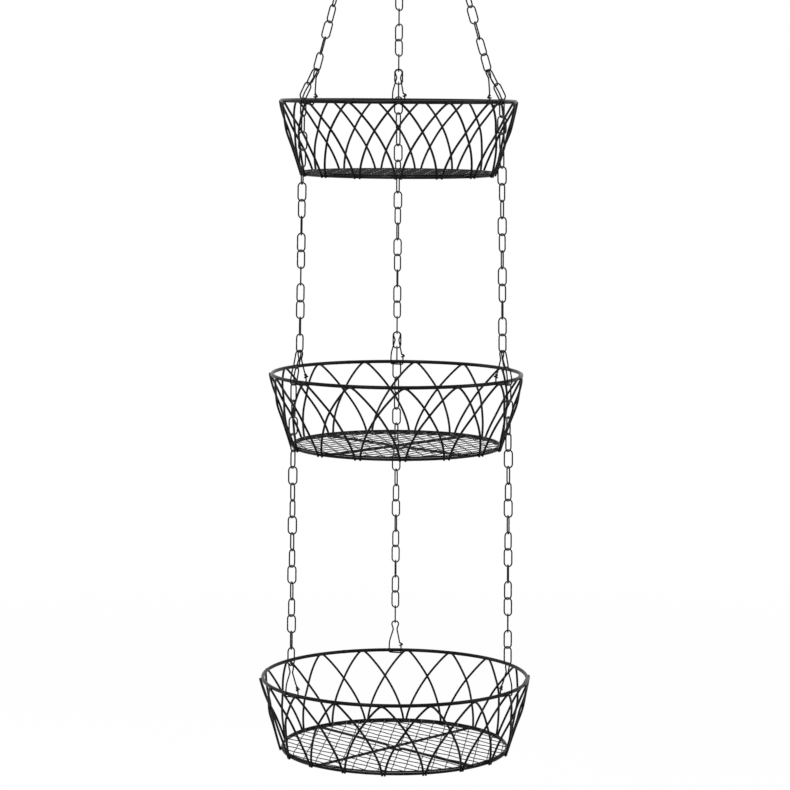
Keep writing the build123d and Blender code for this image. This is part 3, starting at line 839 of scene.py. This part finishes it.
# %% Studio
FLOOR_DROP = 240.0
FLOOR_SIZE = 24000.0
FLOOR_NEAR = 700.0          # the floor turns to pure white from here
FLOOR_FAR = 3200.0          # to here, so that it has no edge against the white world
FLOOR_GLOW = 0.85           # the share of plain white in the floor that the camera sees up close
FLOOR_WHITE = "#f4f4f4"
FLOOR_ROUGHNESS = 0.8
AMBIENT = 0.55
WHITE = (1.0, 1.0, 1.0, 1.0)


def seen_directly(tree):
    """1 for rays from the camera and for rays that metal or glass sends on, else 0."""
    path = add_node(tree, "ShaderNodeLightPath")
    first = add_node(tree, "ShaderNodeMath", operation="MAXIMUM")
    tree.links.new(path.outputs["Is Camera Ray"], first.inputs[0])
    tree.links.new(path.outputs["Is Glossy Ray"], first.inputs[1])
    second = add_node(tree, "ShaderNodeMath", operation="MAXIMUM")
    tree.links.new(first.outputs[0], second.inputs[0])
    tree.links.new(path.outputs["Is Transmission Ray"], second.inputs[1])
    return second.outputs[0]


def mix_by(tree, amount, first, second, output):
    """Sends a mix of two shaders to the output."""
    mix = add_node(tree, "ShaderNodeMixShader", {"Fac": amount})
    tree.links.new(first, mix.inputs[1])
    tree.links.new(second, mix.inputs[2])
    tree.links.new(mix.outputs[0], output.inputs["Surface"])


world = bpy.data.worlds.new("white_studio")
bpy.context.scene.world = world
world.use_nodes = True
world.node_tree.nodes.clear()
ambient = add_node(world.node_tree, "ShaderNodeBackground", {"Color": WHITE, "Strength": AMBIENT})
backdrop = add_node(world.node_tree, "ShaderNodeBackground", {"Color": WHITE, "Strength": 1.0})
mix_by(world.node_tree, seen_directly(world.node_tree), ambient.outputs[0], backdrop.outputs[0],
       add_node(world.node_tree, "ShaderNodeOutputWorld"))

floor_paint = bpy.data.materials.new("white_floor_paint")
floor_paint.use_nodes = True
tree = floor_paint.node_tree
paint = tree.nodes["Principled BSDF"]
paint.inputs["Base Color"].default_value = linear(FLOOR_WHITE)
paint.inputs["Roughness"].default_value = FLOOR_ROUGHNESS
glow = add_node(tree, "ShaderNodeEmission", {"Color": WHITE, "Strength": 1.0})
place = add_node(tree, "ShaderNodeTexCoord").outputs["Object"]
distance = add_node(tree, "ShaderNodeVectorMath", {0: place}, operation="LENGTH")
far = add_node(tree, "ShaderNodeMapRange", {
    "Value": distance.outputs["Value"], "From Min": FLOOR_NEAR * MM, "From Max": FLOOR_FAR * MM,
    "To Min": FLOOR_GLOW, "To Max": 1.0}, interpolation_type="SMOOTHSTEP")
seen = add_node(tree, "ShaderNodeMath", {0: seen_directly(tree), 1: far.outputs["Result"]},
                operation="MULTIPLY")
mix_by(tree, seen.outputs[0], paint.outputs[0], glow.outputs[0], tree.nodes["Material Output"])

floor_level = BASE["lower"][2] - FLOOR_DROP
floor_mesh = bpy.data.meshes.new("floor")
floor_corners = np.array([[-1, -1, 0], [1, -1, 0], [1, 1, 0], [-1, 1, 0]]) * FLOOR_SIZE / 2
floor_corners = floor_corners + UP * floor_level
floor_mesh.from_pydata((floor_corners * MM).tolist(), [], [(0, 1, 2, 3)])
floor_mesh.materials.append(floor_paint)
floor = bpy.data.objects.new("floor", floor_mesh)
bpy.context.scene.collection.objects.link(floor)


def facing(place, back, roll=0.0):
    """The matrix of a camera or lamp whose back points one way and that is rolled by an angle."""
    back = unit(np.asarray(back, float))
    across = unit(np.cross(UP, back))
    over = np.cross(back, across)
    matrix = np.eye(4)
    matrix[:3, 0] = across * np.cos(roll) + over * np.sin(roll)
    matrix[:3, 1] = over * np.cos(roll) - across * np.sin(roll)
    matrix[:3, 2] = back
    matrix[:3, 3] = np.asarray(place, float) * MM
    return Matrix(matrix.tolist())


def soft_lamp(name, place, aim, size, power):
    """A rectangular lamp that faces what it lights."""
    data = bpy.data.lights.new(name, "AREA")
    data.shape = "RECTANGLE"
    data.size = size[0] * MM
    data.size_y = size[1] * MM
    data.energy = power
    lamp = bpy.data.objects.new(name, data)
    lamp.matrix_world = facing(place, np.asarray(place, float) - np.asarray(aim, float))
    bpy.context.scene.collection.objects.link(lamp)


# Each lamp's place from the middle tier, its width and height in millimetres, and its watts.
LAMPS = {
    "key_lamp": ((-900, -1900, 1700), (900, 450), 40),
    "right_lamp": ((2000, -700, 500), (500, 1600), 16),
    "left_lamp": ((-2000, 300, 400), (500, 1600), 12),
    "top_lamp": ((0, 300, 1900), (1400, 1000), 16),
}
middle = np.array([0, 0, RIM["middle"][2]])
for name, (place, size, power) in LAMPS.items():
    soft_lamp(name, middle + place, middle, size, power)
print("lamps:", ", ".join(LAMPS))

# %% [markdown]
# The photograph was taken from far away with a long lens, a little above the upper rim and
# looking slightly down. Distance, height and tilt come from how much the three rims' ellipses
# open: nearly a line at the top and wide at the bottom. The roll is how far the chains lean.

# %% Camera
PICTURE_WIDTH = 790
FOCAL_PIXELS = 2815.0
CAMERA_DISTANCE = 3100.0
CAMERA_ABOVE_RIM = 28.0
CAMERA_ASIDE = -1.9
CAMERA_TILT = 6.48
CAMERA_ROLL = 0.36
SENSOR_WIDTH = 36.0
CAMERA_REACH = 100000.0

camera_data = bpy.data.cameras.new("camera")
camera_data.sensor_width = SENSOR_WIDTH
camera_data.lens = FOCAL_PIXELS / PICTURE_WIDTH * SENSOR_WIDTH
camera_data.clip_end = CAMERA_REACH * MM
camera = bpy.data.objects.new("camera", camera_data)
camera_place = np.array([CAMERA_ASIDE, -CAMERA_DISTANCE, RIM["upper"][2] + CAMERA_ABOVE_RIM])
camera_back = UP * np.sin(np.radians(CAMERA_TILT)) + outward(0.0) * np.cos(np.radians(CAMERA_TILT))
camera.matrix_world = facing(camera_place, camera_back, np.radians(CAMERA_ROLL))
bpy.context.scene.collection.objects.link(camera)
bpy.context.scene.camera = camera
bpy.context.scene.view_settings.view_transform = "Standard"
